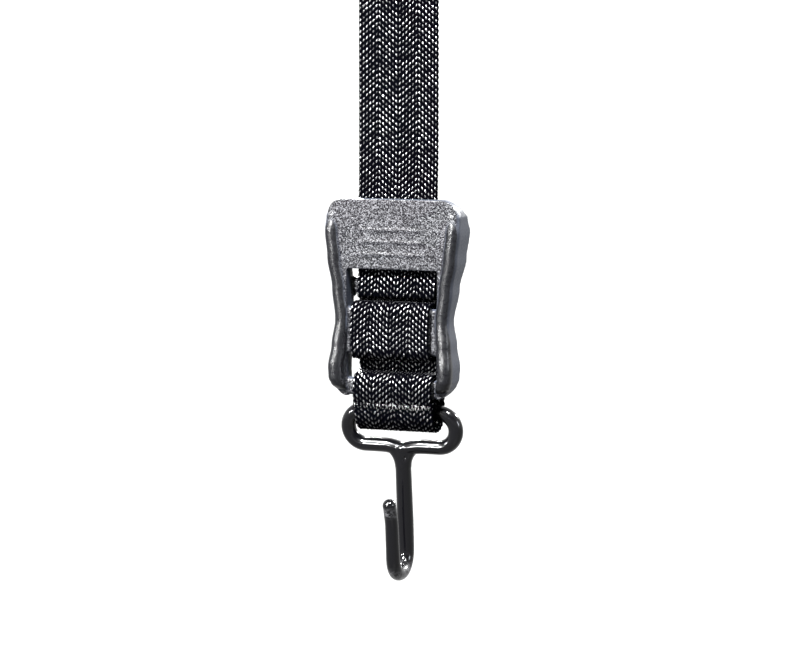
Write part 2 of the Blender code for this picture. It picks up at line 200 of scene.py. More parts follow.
def even_path(points, step, softness):
    """Points at even steps along a polyline, with its corners rounded."""
    fine = 0.05
    points = np.array(points, float)
    line = spread_along(points, max(int(lengths_along(points)[-1] / fine), 8))
    reach = int(3 * softness / fine)
    before = line[0] + (line[0] - line[1]) * np.arange(reach, 0, -1)[:, None]
    after = line[-1] + (line[-1] - line[-2]) * np.arange(1, reach + 1)[:, None]
    padded = np.vstack([before, line, after])
    weights = np.exp(-0.5 * (np.arange(-reach, reach + 1) * fine / softness) ** 2)
    weights /= weights.sum()
    line = np.column_stack([np.convolve(padded[:, k], weights, "valid") for k in range(line.shape[1])])
    return spread_along(line, max(int(round(lengths_along(line)[-1] / step)), 2) + 1)


# ---- Webbing ----

COLUMNS = 24  # warp columns across the webbing
COLUMNS_PER_TURN = 6  # the weave's slant turns back after this many
COLUMN_PITCH = WEBBING_WIDTH / COLUMNS
ROW_PITCH = 1.3
FLOAT_HEIGHT = 0.32
FLOAT_SLANT = 0.55
FLOAT_UNEVENNESS = 0.24  # how far a float sits off its row, in rows
FLOAT_SHARE = 0.33  # half of a float's length, in rows
FLOAT_SUNK = 0.62  # the share of a float's height that is within the webbing's thickness
SELVEDGE_START = 0.955  # where the webbing's edge starts to round off, from 0 at the middle to 1
EDGE_WAVE = 0.09
EDGE_WAVE_START = 0.9
YARN_ROUGHNESS = 0.02
LEAST_HALF_THICKNESS = 0.02
FACE_OFFSET = 5.0  # keeps the filament pattern of one face apart from the other's
CORNER_SOFTNESS = 0.35
COARSE_GAIN = 1.2  # a mesh of few columns rounds the floats off, so they count as higher
PATH_OVERLAP = 0.3  # a strip runs this far into the next one


def scattered(a, b):
    """A repeatable number from 0 to 1 for each pair of whole numbers."""
    value = np.sin(a * 12.9898 + b * 78.233) * 43758.5453
    return value - np.floor(value)


def weave(across, along):
    """The woven surface's height, 0 in the gaps and 1 on top of a float, and a number for each float."""
    column = np.clip(np.floor(across / COLUMN_PITCH), 0, COLUMNS - 1)
    in_column = across / COLUMN_PITCH - column - 0.5
    zigzag = np.abs((column + COLUMNS_PER_TURN) % (2 * COLUMNS_PER_TURN) - COLUMNS_PER_TURN + 0.5)
    slant = np.where((column // COLUMNS_PER_TURN) % 2 == 0, 1.0, -1.0)
    phase = along / ROW_PITCH + 0.5 * zigzag + slant * FLOAT_SLANT * in_column
    row = np.floor(phase)
    number = scattered(column, row)
    in_row = phase - row - 0.5 + FLOAT_UNEVENNESS * (scattered(row, column) - 0.5)
    side = np.clip(1 - (2.5 * in_column) ** 2, 0, 1)
    lump = np.clip(1 - (in_row / FLOAT_SHARE) ** 2, 0, 1)
    return side ** 0.5 * (0.05 + (0.72 + 0.23 * number) * lump ** 0.5), number


def strip_faces(count, cells):
    """Quads of a closed strip: its front and rear grids, then its two long sides and two ends."""
    wide, size = cells + 1, count * (cells + 1)
    i, j = np.meshgrid(np.arange(count - 1), np.arange(cells), indexing="ij")
    low = (i * wide + j).reshape(-1)
    front = np.column_stack([low, low + 1, low + wide + 1, low + wide])
    rear = np.column_stack([low, low + wide, low + wide + 1, low + 1]) + size
    i = np.arange(count - 1) * wide
    left = np.column_stack([i, i + wide, i + wide + size, i + size])
    right = np.column_stack([i + size, i + wide + size, i + wide, i]) + cells
    j = np.arange(cells)
    foot = np.column_stack([j, j + size, j + size + 1, j + 1])
    top = np.column_stack([j + 1, j + size + 1, j + size, j]) + (count - 1) * wide
    return np.vstack([front, rear, left, right, foot, top])


def woven_strip(name, path, material, body, per_column, per_row, drift=None, turn_drift=None, start=0.0,
                width=WEBBING_WIDTH, thickness=WEBBING_THICKNESS, rows=None):
    """A woven strip along (y, z) points in the slider's frame, with the weave's floats on both faces.

    A drift gives the sideways shift at each height, and a turn_drift the shift at the two ends of the
    path. A strip with rows is one that stretches along its height: it has its true weave when it is at
    its full length. Returns the piece and its length.
    """
    center = even_path(path, ROW_PITCH / per_row, CORNER_SOFTNESS) if rows is None else rows
    count = len(center)
    if rows is None:
        steps = np.gradient(center, axis=0)
        tangent = steps / np.linalg.norm(steps, axis=1)[:, None]
        normal = np.column_stack([-tangent[:, 1], tangent[:, 0]])
        along = start + lengths_along(center)
    else:
        normal = np.tile([-1.0, 0.0], (count, 1))
        along = np.arange(count) * ROW_PITCH / per_row
    cells = COLUMNS * per_column
    across = np.linspace(0, WEBBING_WIDTH, cells + 1)
    side = across / WEBBING_WIDTH * 2 - 1
    selvedge = np.clip((np.abs(side) - SELVEDGE_START) / (1 - SELVEDGE_START), 0, 1)
    edge = np.sqrt(np.clip(1 - selvedge ** 2, 0, 1))
    grid_u, grid_s = np.meshgrid(across, along)
    shift = np.zeros(count) if drift is None else np.array([drift(z) for z in center[:, 1]])
    if turn_drift:
        shift = np.interp(along - start, [0, along[-1] - start], turn_drift)
    at_edge = np.clip((np.abs(side) - EDGE_WAVE_START) / (1 - EDGE_WAVE_START), 0, 1) * np.sign(side)
    wave = EDGE_WAVE * np.cos(2 * np.pi * grid_s / ROW_PITCH) * at_edge
    random = np.random.default_rng(sum(map(ord, name)))
    wobble = random.normal(0, YARN_ROUGHNESS, (count, cells + 1))
    x = side * width / 2 + wave + shift[:, None]
    verts, heights, numbers, coords = [], [], [], []
    for face in (-1, 1):
        # On the rear face the floats sit where the front face has its gaps
        height, number = weave(grid_u, grid_s + (0 if face < 0 else ROW_PITCH / 2))
        numbers.append(number.reshape(-1))
        lift = thickness / 2 - FLOAT_SUNK * FLOAT_HEIGHT + FLOAT_HEIGHT * height + wobble * height
        lift = np.maximum(lift * edge, LEAST_HALF_THICKNESS)
        y = center[:, 0][:, None] + face * normal[:, 0][:, None] * lift
        z = center[:, 1][:, None] + face * normal[:, 1][:, None] * lift
        verts.append(np.stack([x, y, z], axis=-1).reshape(-1, 3))
        heights.append((height * edge).reshape(-1))
        coords.append(np.stack([grid_u, grid_s], axis=-1).reshape(-1, 2))
    verts = np.vstack(verts) * MM + np.array(SLIDER_AT)
    mesh = bpy.data.meshes.new(name)
    mesh.from_pydata(verts.tolist(), [], strip_faces(count, cells).tolist())
    outward(mesh)
    gain = 1.0 if per_column > 3 else COARSE_GAIN
    store(mesh, "raised", np.clip(np.concatenate(heights) * gain, 0, 1))
    store(mesh, "number", np.concatenate(numbers))
    place = mesh.attributes.new("woven", "FLOAT_VECTOR", "POINT")
    face_of = np.repeat([0.0, FACE_OFFSET], len(verts) // 2)
    flat = np.column_stack([np.vstack(coords), face_of]).astype(np.float32)
    place.data.foreach_set("vector", flat.reshape(-1))
    made = new_object(name, mesh, material, body)
    return made, along[-1] - start


def outward(mesh):
    shape = bmesh.new()
    shape.from_mesh(mesh)
    bmesh.ops.recalc_face_normals(shape, faces=shape.faces)
    shape.to_mesh(mesh)
    shape.free()


def sewn_strip(name, node, path, material, body, per_column, per_row, **settings):
    """A woven strip that stands for a CAD node, which it hides."""
    piece, length = woven_strip(name, path, material, body, per_column, per_row, **settings)
    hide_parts(node)
    return piece, length


LIFTING_BOTTOM, LIFTING_TOP = 9.7, 20.1  # where the lifting strand leaves the hook's and the slider's side
PULL_BOTTOM, PULL_TOP = -2.5, -1.4
PULL_DEPTHS = (0.35, 0.0)
UPPER_TURN_RADIUS = 0.9
UPPER_TURN_DEPTH = 5.3
BOTTOM_BAR_ROUND = 1.2
BEHIND_BARS = 2.6  # the depth at which the webbing turns up behind the bottom bar and forward again


def upper_wrap_path():
    """Down from the neck, over the upper bar's front and back under it to the lifting strand."""
    corner = UPPER_BAR_DEPTH[0] + UPPER_BAR_RADIUS
    reach = corner - UPPER_WRAP_LAYER
    low, high = UPPER_BAR[0] + UPPER_BAR_RADIUS, UPPER_BAR[1] - UPPER_BAR_RADIUS
    turn = LIFTING_LAYER - UPPER_TURN_DEPTH
    top = (front_low.z - SLIDER_AT.z) / MM - PATH_OVERLAP
    under = (UPPER_WRAP_LAYER + UPPER_TURN_RADIUS, low - reach + UPPER_TURN_RADIUS)
    return (
        [(NECK_FRONT_LAYER, top), (NECK_FRONT_LAYER, 29.2), (3.45, 28.5)]
        + arc((corner, high), reach, 140, 180, 4)
        + arc(under, UPPER_TURN_RADIUS, 180, 270)
        + arc((UPPER_TURN_DEPTH, low - reach - turn), turn, 90, 0)
        + [(LIFTING_LAYER, LIFTING_TOP)]
    )


def end_wrap_path():
    """Up over the bottom bar, up behind the middle bar, down over its front and up to the sewn end."""
    bottom_round, middle_round = BOTTOM_BAR_ROUND, BAR_THICKNESS / 2
    over_bottom, over_middle = bottom_round - FRONT_LAYER, middle_round - FRONT_LAYER
    turn = SLIDER_REAR_LAYER - BEHIND_BARS
    bottom_z = BOTTOM_BAR[1] - bottom_round
    low, high = MIDDLE_BAR[0] + middle_round, MIDDLE_BAR[1] - middle_round
    return (
        [(-0.1, -1.2), (-0.55, 0.3), (FRONT_LAYER, 1.8)]
        + arc((bottom_round, bottom_z), over_bottom, 180, 90)
        + arc((BEHIND_BARS, bottom_z + over_bottom + turn), turn, 270, 360)
        + arc((BEHIND_BARS, high + over_middle - turn), turn, 0, 90)
        + arc((middle_round, high), over_middle, 90, 180)
        + arc((middle_round, low), over_middle, 180, 360, 20)
        + [(SECOND_END_LAYER, 17.0)]
    )


def first_end_path():
    """Down from the lifting strand, round the hook's bar and up in front of itself to its sewn end."""
    return (
        [(LIFTING_LAYER, LIFTING_BOTTOM), (LIFTING_LAYER, 3.0), (7.0, 0.2)]
        + arc((BAR_Y, BAR_Z), INNER_FOLD_RADIUS, 10, -205, 24)
        + [(4.2, 0.9), (FIRST_END_LAYER - 0.2, 2.6), (FIRST_END_LAYER, 4.4), (FIRST_END_LAYER, 9.0)]
    )


def hook_fold_path():
    """Down the rear strand, round the outside of the first end's fold and up to the pull strand."""
    top = (rear_low.z - SLIDER_AT.z) / MM - PATH_OVERLAP
    return (
        [(NECK_REAR_LAYER, top), (NECK_REAR_LAYER, 8.0), (8.2, 3.0)]
        + arc((BAR_Y, BAR_Z), OUTER_FOLD_RADIUS, 12, -172, 28)
        + [(0.4, -2.8), (-0.04, -1.35)]
    )


def neck_bend_path():
    """Up the front strand, round the top and down the rear strand."""
    middle = -SLIDER_AT.y / MM
    low = (bend_low.z - SLIDER_AT.z) / MM
    center_z = (bend_high.z - SLIDER_AT.z) / MM - BEND_RADIUS - WEBBING_THICKNESS / 2
    half_gap = (NECK_REAR_LAYER - NECK_FRONT_LAYER) / 2
    sides = []
    for share in np.linspace(0, 1, 21)[:-1]:
        sides.append((half_gap + (BEND_RADIUS - half_gap) * eased(share), low + (center_z - low) * share))
    front = [(middle - y, z) for y, z in sides]
    rear = [(middle + y, z) for y, z in sides[::-1]]
    return front + arc((middle, center_z), BEND_RADIUS, 180, 0, 24) + rear


STRETCHED_NARROWER, STRETCHED_THINNER = 0.3, 0.25  # so that a strand starts inside its neighbours
FRONT_DRIFT = 0.5
REAR_DRIFT = -1.2  # the rear strand hangs a little to one side of the front one
FOLD_DRIFT = 0.3
# Mesh cells for each warp column and each row of the weave
FINEST, FINE, MEDIUM, COARSE = (6, 8), (5, 6), (4, 5), (2, 3)


def stretched_rows(low, high, depth_low, depth_high, travel, per_row):
    """Rows that come out evenly spaced once the strip is stretched by a blend over the travel."""
    rest = high - low
    full = rest + travel
    count = int(full / (ROW_PITCH / per_row))
    t = np.linspace(0, 1, 4001)
    reach = t * rest + travel * eased(t)
    at = np.interp(np.linspace(0, full, count + 1), reach, t)
    return np.column_stack([depth_low + (depth_high - depth_low) * at, low + rest * at])


def stretched_strip(name, node, material, low, high, depths):
    """A strand between the hook and the slider, which lengthens as the slider goes up."""
    travel = joint("slider_slide")["range_m"][1] / MM
    per_column, per_row = COARSE
    rows = stretched_rows(low, high, *depths, travel, per_row)
    piece, _ = woven_strip(name, None, material, None, per_column, per_row, rows=rows,
                           width=WEBBING_WIDTH - STRETCHED_NARROWER,
                           thickness=WEBBING_THICKNESS - STRETCHED_THINNER)
    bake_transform(piece)
    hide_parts(node)


def make_webbing():
    material = webbing_material()
    sewn_strip("webbing_wrap", "webbing_upper_wrap", upper_wrap_path(), material, "slider", *FINE,
               drift=wrap_drift)
    _, fold_length = sewn_strip("webbing_hook_wrap", "webbing_hook_fold", hook_fold_path(), material,
                                "hook_carrier", *MEDIUM, drift=fold_drift)
    sewn_strip("webbing_sewn_end", "webbing_second_end", end_wrap_path(), material, "slider", *FINEST,
               drift=end_drift, start=fold_length)
    sewn_strip("webbing_hook_end", "webbing_first_end", first_end_path(), material, "hook_carrier", *MEDIUM)
    sewn_strip("webbing_neck_loop", "webbing_neck_bend", neck_bend_path(), material, "neck_loop", *COARSE,
               turn_drift=(FRONT_DRIFT, REAR_DRIFT))
    make_neck_strands(material)
    stretched_strip("webbing_lifting", "webbing_lifting_strand", material, LIFTING_BOTTOM, LIFTING_TOP,
                    (LIFTING_LAYER, LIFTING_LAYER))
    stretched_strip("webbing_pull", "webbing_front_strand", material, PULL_BOTTOM, PULL_TOP, PULL_DEPTHS)


def fade(value, low, high):
    return eased(min(max((value - low) / (high - low), 0), 1))


def wrap_drift(z):
    """The sideways shift of the upper wrap at a height, as for the two below."""
    return FRONT_DRIFT * fade(z, 28, 60) + 0.5 * math.exp(-((z - 26) / 3.5) ** 2)


def end_drift(z):
    return FOLD_DRIFT - 0.45 * fade(z, 4, 12) + 0.15 * math.sin(z / 3)


def fold_drift(z):
    return FOLD_DRIFT + (REAR_DRIFT - FOLD_DRIFT) * fade(z, 4, 22)


def make_neck_strands(material):
    """The two neck strands, which shorten as the slider and the hook go up."""
    rise = joint("hook_rise")["range_m"][1]
    slide = joint("slider_slide")["range_m"][1]
    strands = [
        ("webbing_strand_front", "webbing_neck_front", (front_low, front_high), NECK_FRONT_LAYER,
         rise + slide, FRONT_DRIFT),
        ("webbing_strand_rear", "webbing_neck_rear", (rear_low, rear_high), NECK_REAR_LAYER,
         rise, REAR_DRIFT),
    ]
    for name, node, (low, high), depth, travel, drift in strands:
        ends = (low.z - PATH_OVERLAP * MM, high.z + PATH_OVERLAP * MM)
        line = [(depth, (z - SLIDER_AT.z) / MM) for z in ends]
        piece, _ = sewn_strip(name, node, line, material, "neck_loop", *COARSE, drift=lambda z: drift)
        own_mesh(piece)


# ---- Solid pieces in voxels ----


def solid(shape, rings):
    """Adds a closed loft through rings of points to a bmesh."""
    made = [[shape.verts.new(point) for point in ring] for ring in rings]
    sides = len(rings[0])
    shape.faces.new(made[0])
    shape.faces.new(made[-1][::-1])
    for a, b in zip(made, made[1:]):
        for i in range(sides):
            j = (i + 1) % sides
            shape.faces.new((a[i], b[i], b[j], a[j]))


def moulded(shape, voxel, smoothing):
    """One smooth closed mesh, in millimetres, round everything in a bmesh."""
    bmesh.ops.recalc_face_normals(shape, faces=shape.faces)
    mesh = bpy.data.meshes.new("raw")
    shape.to_mesh(mesh)
    shape.free()
    raw = bpy.data.objects.new("raw", mesh)
    bpy.context.scene.collection.objects.link(raw)
    remesh = raw.modifiers.new("voxels", "REMESH")
    remesh.mode = "VOXEL"
    remesh.voxel_size = voxel
    smooth = raw.modifiers.new("smooth", "SMOOTH")
    smooth.factor = 0.5
    smooth.iterations = smoothing
    graph = bpy.context.evaluated_depsgraph_get()
    made = bpy.data.meshes.new_from_object(raw.evaluated_get(graph))
    bpy.data.objects.remove(raw, do_unlink=True)
    bpy.data.meshes.remove(mesh)
    made.materials.clear()
    return made


def points_of(mesh):
    co = np.zeros(len(mesh.vertices) * 3)
    mesh.vertices.foreach_get("co", co)
    return co.reshape(-1, 3)


def normals_of(mesh):
    normals = np.zeros(len(mesh.vertices) * 3)
    mesh.vertices.foreach_get("normal", normals)
    return normals.reshape(-1, 3)


def store(mesh, name, values):
    attribute = mesh.attributes.new(name, "FLOAT", "POINT")
    attribute.data.foreach_set("value", values.astype(np.float32))


# ---- Slider ----


WALL_STEPS = 60
PLATE_INSET = 0.6  # how far the plate's outline is inside the walls' outer faces
GRIP_RIBS = (32.8, 35.6, 38.4)
GRIP_HALF_LENGTH = 9.5
RIB_RADIUS, RIB_SUNK = 0.5, 0.34
GUSSET = [(10.1, 24.2), (10.5, 22.7), (13.0, 22.4), (13.0, 24.2)]
GUSSET_DEPTH = (3.3, 5.3)
SLIDER_VOXEL, SLIDER_SMOOTHING = 0.22, 4
GRAIN = 0.022
GRAIN_SEED = 7


def wall_at(height):
    """Half width, front edge and rear edge of the side walls at a height."""
    if height <= WALL_STATIONS[0][0]:
        return WALL_STATIONS[0][1:]
    for low, high in zip(WALL_STATIONS, WALL_STATIONS[1:]):
        if height <= high[0]:
            share = eased((height - low[0]) / (high[0] - low[0]))
            return tuple(a + (b - a) * share for a, b in zip(low[1:], high[1:]))
    return WALL_STATIONS[-1][1:]


def add_wall(shape, side):
    """A side wall with a round front edge, on the +X side for 1 and the -X side for -1."""
    heights = np.linspace(WALL_STATIONS[0][0], WALL_STATIONS[-1][0], WALL_STEPS)
    radius = WALL_WIDTH / 2
    rings = []
    for height in heights:
        outer, near, far = wall_at(height)
        nose = arc((outer - radius, near + radius), radius, 0, -180, 14)
        ring = [(outer, far)] + nose + [(outer - WALL_WIDTH, far)]
        rings.append([(side * x, y, height) for x, y in ring])
    solid(shape, rings)


def add_bar(shape, depth, height, radius, half):
    """A cross bar with round edges, from -half to half."""
    (near, far), (low, high) = depth, height
    ring = (
        arc((near + radius, low + radius), radius, 180, 270, 6)
        + arc((far - radius, low + radius), radius, 270, 360, 6)
        + arc((far - radius, high - radius), radius, 0, 90, 6)
        + arc((near + radius, high - radius), radius, 90, 180, 6)
    )
    solid(shape, [[(x, y, z) for y, z in ring] for x in (-half, half)])


def add_plate(shape):
    """The top plate and the two strips beside the window, with round outer corners."""
    heights = np.linspace(WINDOW_TOP, SLIDER_HEIGHT - CORNER_RADIUS, 12)
    side = [(wall_at(z)[0] - PLATE_INSET, z) for z in heights]
    corner = arc((side[-1][0] - CORNER_RADIUS, SLIDER_HEIGHT - CORNER_RADIUS), CORNER_RADIUS, 0, 90, 10)[1:]
    right = side + corner
    outline = right + [(-x, z) for x, z in right[::-1]]
    solid(shape, [[(x, y, z) for x, z in outline] for y in (0, PLATE_THICKNESS)])
    heights = np.linspace(CORNER_RADIUS, WINDOW_TOP + 1, 24)
    outer = [(wall_at(z)[0] - PLATE_INSET, z) for z in heights]
    foot = arc((outer[0][0] - CORNER_RADIUS, CORNER_RADIUS), CORNER_RADIUS, -90, 0, 10)[:-1]
    strip = [(WINDOW_HALF_WIDTH, 0)] + [p for p in foot if p[0] > WINDOW_HALF_WIDTH] + outer
    strip += [(WINDOW_HALF_WIDTH, WINDOW_TOP + 1)]
    for mirror in (1, -1):
        solid(shape, [[(mirror * x, y, z) for x, z in strip] for y in (0, PLATE_THICKNESS)])


def add_grip(shape):
    """Three plain ribs on the plate for the thumb."""
    for height in GRIP_RIBS:
        rings = []
        for x in np.linspace(-GRIP_HALF_LENGTH, GRIP_HALF_LENGTH, 30):
            taper = math.sqrt(max(1 - (x / (GRIP_HALF_LENGTH + 0.2)) ** 8, 0.01))
            rings.append([(x, y, z) for y, z in arc((RIB_SUNK, height), RIB_RADIUS * taper, 0, 330, 11)])
        solid(shape, rings)


def make_slider():
    shape = bmesh.new()
    add_plate(shape)
    add_wall(shape, 1)
    add_wall(shape, -1)
    lower_depth = (LOWER_BAR_FRONT, BAR_THICKNESS)
    for depth, height, radius, reach in (
        (lower_depth, BOTTOM_BAR, LOWER_BAR_RADIUS, BOTTOM_BAR_REACH),
        (lower_depth, MIDDLE_BAR, LOWER_BAR_RADIUS, MIDDLE_BAR_REACH),
        (UPPER_BAR_DEPTH, UPPER_BAR, UPPER_BAR_RADIUS, UPPER_BAR_REACH),
    ):
        add_bar(shape, depth, height, radius, WINDOW_HALF_WIDTH + reach)
    for side in (1, -1):
        solid(shape, [[(side * x, y, z) for x, z in GUSSET] for y in GUSSET_DEPTH])
    add_grip(shape)
    mesh = moulded(shape, SLIDER_VOXEL, SLIDER_SMOOTHING)
    co, normal = points_of(mesh), normals_of(mesh)
    plate, rail = plate_share(co, normal), rail_share(co)
    random = np.random.default_rng(GRAIN_SEED)
    co += normal * (random.normal(0, GRAIN, len(co)) * (0.15 + 0.85 * plate))[:, None]
    mesh.vertices.foreach_set("co", (co * MM + np.array(SLIDER_AT)).reshape(-1))
    store(mesh, "plate", plate)
    store(mesh, "rail", rail)
    piece = new_object("slider_moulding", mesh, slider_material(), "slider")
    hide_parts("slider_body")


def plate_share(co, normal):
    """1 on the grained front faces, the ribs among them, and 0.8 on the walls' inner faces near them."""
    plate = np.clip((-normal[:, 1] - 0.55) / 0.3, 0, 1) * np.clip((co[:, 1] + 0.5) / 0.2, 0, 1)
    near_front = co[:, 1] < 0.3
    ribbed = (np.abs(co[:, 0]) < GRIP_HALF_LENGTH + 1) & (np.abs(co[:, 2] - GRIP_RIBS[1]) < 4) & near_front
    inner = np.abs(co[:, 0]) < np.array([wall_at(z)[0] for z in co[:, 2]]) - WALL_WIDTH + 0.25
    inner &= near_front & (normal[:, 0] * np.sign(co[:, 0]) < -0.4)
    return np.maximum(plate, np.maximum(ribbed, 0.8 * inner))


def rail_share(co):
    """1 on the walls where they stand in front of the plate."""
    return np.clip((-0.25 - co[:, 1]) / 0.3, 0, 1) * (np.abs(co[:, 0]) > WINDOW_HALF_WIDTH)


# ---- Hook ----


TUBE_SIDES = 20
# The coated shank's radius at shares of its length, from the eye to the tip
SHANK_RADII = [(0, 1.9), (0.08, 1.85), (0.35, SHANK_RADIUS), (0.6, 1.8), (0.8, ARM_RADIUS), (1, 1.55)]
TIP_BALL = 1.03  # the ball of coating on the tip, against the wire there
EYE_BOTTOM = -2 * EYE_END_RADIUS
RUN_OUT_TOP, RUN_OUT_HEIGHT, RUN_OUT_WIDTH = 0.4, 4.0, 2.1
DIMPLE_AT, DIMPLE_DEPTH, DIMPLE_RADIUS = (0.9, -1.75, EYE_BOTTOM - EYE_DIP - 1.9), 0.35, 0.45
COATING_VOXEL, COATING_SMOOTHING = 0.16, 10
CORE_VOXEL, CORE_SMOOTHING = 0.2, 4
SCUFF_AND_REFLECTION_BELOW, FLOOR_REFLECTION_REACH = 1.6, 2.5  # how far from the tip's end the scuffs reach, and how far from the bend's bottom the painted grey reflection of the floor reaches


def add_tube(shape, path, radii, closed=False):
    """A round tube along points in a plane that holds X or Y, with a radius for each point."""
    path = [Vector(p) for p in path]
    count = len(path)
    flat_x = max(abs(p.x - path[0].x) for p in path) < 1e-6
    normal = Vector((1, 0, 0)) if flat_x else Vector((0, 1, 0))
    rings = []
    for i, point in enumerate(path):
        before = path[(i - 1) % count] if closed or i else point
        after = path[(i + 1) % count] if closed or i < count - 1 else point
        across = (after - before).normalized().cross(normal)
        turns = np.linspace(0, 2 * math.pi, TUBE_SIDES, endpoint=False)
        rings.append([point + (normal * math.cos(a) + across * math.sin(a)) * float(radii[i]) for a in turns])
    if not closed:
        solid(shape, rings)
        return
    made = [[shape.verts.new(p) for p in ring] for ring in rings]
    for i in range(count):
        a, b = made[i], made[(i + 1) % count]
        for k in range(TUBE_SIDES):
            m = (k + 1) % TUBE_SIDES
            shape.faces.new((a[k], b[k], b[m], a[m]))


def eye_path():
    """The closed eye, whose bottom bar dips at the middle where the shank leaves it."""
    right = arc((EYE_HALF_STRAIGHT, -EYE_END_RADIUS), EYE_END_RADIUS, 90, -90, 20)
    dips = []
    for x in np.linspace(EYE_HALF_STRAIGHT, -EYE_HALF_STRAIGHT, 30)[1:-1]:
        dips.append((x, EYE_BOTTOM - EYE_DIP * math.exp(-((x / 2.4) ** 2))))
    left = [(-x, z) for x, z in right[::-1]]
    top = [(x, 0.0) for x in np.linspace(-EYE_HALF_STRAIGHT, EYE_HALF_STRAIGHT, 12)[1:-1]]
    return [(x, 0, z) for x, z in right + dips + left + top]


def shank_path():
    """(y, z) points down the shank, round the bend and up the arm to the flared tip."""
    bend = arc((-HOOK_BEND_RADIUS, SHANK_BOTTOM), HOOK_BEND_RADIUS, 0, -180, 24)
    arm_top = SHANK_BOTTOM + HOOK_ARM
    depth = -2 * HOOK_BEND_RADIUS
    tip = (depth - HOOK_TIP * math.sin(HOOK_TIP_LEAN), arm_top + HOOK_TIP * math.cos(HOOK_TIP_LEAN))
    return even_path([(0, EYE_BOTTOM)] + bend + [(depth, arm_top), tip], 0.6, 0.9)


def add_run_out(shape):
    """The cone of dipped coating where the shank meets the eye."""
    rings = []
    for drop in np.linspace(0, 1, 12):
        radius = SHANK_RADIUS + RUN_OUT_WIDTH * (1 - drop) ** 2.4
        deep = min(radius, COATED_RADIUS - 0.02 + 0.2 * drop)
        height = EYE_BOTTOM - EYE_DIP - RUN_OUT_TOP - RUN_OUT_HEIGHT * drop
        turns = np.linspace(0, 2 * math.pi, 24, endpoint=False)
        rings.append([(radius * math.cos(a), deep * math.sin(a), height) for a in turns])
    solid(shape, rings)


def scuff_and_reflection_share(co, tip_z):
    """1 where the coating is scuffed, round the arm just below its tip, and where a grey reflection of the
    floor is painted, under the bend.
    """
    at_tip = np.clip(1 - np.abs(co[:, 2] - (tip_z - SCUFF_AND_REFLECTION_BELOW)) / SCUFF_AND_REFLECTION_BELOW, 0, 1)
    # Painted reflection: the grey under the bend stands for the white floor mirrored in the glossy vinyl.
    floor_reflection_at_bend = np.clip((SHANK_BOTTOM - SCUFF_AND_REFLECTION_BELOW - co[:, 2]) / FLOOR_REFLECTION_REACH, 0, 1)
    return np.clip(at_tip * (co[:, 1] < -HOOK_BEND_RADIUS) + floor_reflection_at_bend, 0, 1)


def make_hook():
    eye, line = eye_path(), shank_path()
    shank = [(0, y, z) for y, z in line]
    to_place = Matrix.Translation(BAR_AT) @ Matrix.Rotation(HOOK_LEAN, 4, "X")
    shape = bmesh.new()
    add_tube(shape, eye, [COATED_RADIUS] * len(eye), closed=True)
    radii = np.interp(np.linspace(0, 1, len(line)), *zip(*SHANK_RADII))
    add_tube(shape, shank, radii)
    bmesh.ops.create_uvsphere(shape, u_segments=24, v_segments=16, radius=radii[-1] * TIP_BALL,
                              matrix=Matrix.Translation(shank[-1]))
    add_run_out(shape)
    mesh = moulded(shape, COATING_VOXEL, COATING_SMOOTHING)
    co = points_of(mesh)
    dimple = np.linalg.norm(co - np.array(DIMPLE_AT), axis=1)
    co[:, 1] += DIMPLE_DEPTH * np.exp(-((dimple / DIMPLE_RADIUS) ** 2))
    mesh.vertices.foreach_set("co", (co * MM).reshape(-1))
    mesh.transform(to_place)
    store(mesh, "scuff_and_floor_reflection", scuff_and_reflection_share(co, line[-1][1]))
    piece = new_object("hook_vinyl", mesh, vinyl_material(), "hook")
    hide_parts("hook_coating")
    shape = bmesh.new()
    add_tube(shape, eye, [CORE_RADIUS] * len(eye), closed=True)
    add_tube(shape, shank, [CORE_RADIUS] * len(shank))
    mesh = moulded(shape, CORE_VOXEL, CORE_SMOOTHING)
    mesh.transform(to_place @ Matrix.Scale(MM, 4))
    piece = new_object("hook_core", mesh, steel_material(), "hook")
    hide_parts("hook_wire")


# ---- Materials ----


class Nodes:
    """A short way to write a material's node tree."""

    def __init__(self, name):
        self.material = bpy.data.materials.new(name)
        self.material.use_nodes = True
        self.tree = self.material.node_tree
        self.shader = self.tree.nodes["Principled BSDF"]

    def node(self, kind, values=None, **settings):
        made = self.tree.nodes.new(kind)
        for key, value in settings.items():
            setattr(made, key, value)
        for key, value in (values or {}).items():
            self.feed(made.inputs[key], value)
        return made

    def feed(self, socket, value):
        """Links a socket to another node's output, or gives it a plain value."""
        if isinstance(value, bpy.types.NodeSocket):
            self.tree.links.new(value, socket)
        else:
            socket.default_value = value

    def set(self, **values):
        """Feeds the shader's inputs, with underscores for the spaces in their names."""
        for key, value in values.items():
            self.feed(self.shader.inputs[key.replace("_", " ")], value)

    def attribute(self, name, output="Fac"):
        return self.node("ShaderNodeAttribute", attribute_name=name).outputs[output]

    def position(self):
        return self.node("ShaderNodeTexCoord").outputs["Object"]

    def noise(self, scale, detail=2.0, vector=None, roughness=0.5):
        values = {"Scale": scale, "Detail": detail, "Roughness": roughness}
        values["Vector"] = vector or self.position()
        return self.node("ShaderNodeTexNoise", values).outputs["Fac"]

    def remap(self, value, low, high, to_low, to_high):
        values = {"Value": value, "From Min": low, "From Max": high, "To Min": to_low, "To Max": to_high}
        return self.node("ShaderNodeMapRange", values).outputs["Result"]

    def math(self, operation, a, b):
        made = self.node("ShaderNodeMath", operation=operation)
        self.feed(made.inputs[0], a)
        self.feed(made.inputs[1], b)
        return made.outputs[0]

    def mix(self, share, a, b):
        made = self.node("ShaderNodeMix", data_type="RGBA")
        self.feed(made.inputs["Factor"], share)
        for socket, value in zip([s for s in made.inputs if s.type == "RGBA"], (a, b)):
            self.feed(socket, (*value, 1) if isinstance(value, tuple) else value)
        return next(s for s in made.outputs if s.type == "RGBA")

    def bump(self, height, distance, strength):
        values = {"Height": height, "Distance": distance, "Strength": strength}
        return self.node("ShaderNodeBump", values).outputs["Normal"]


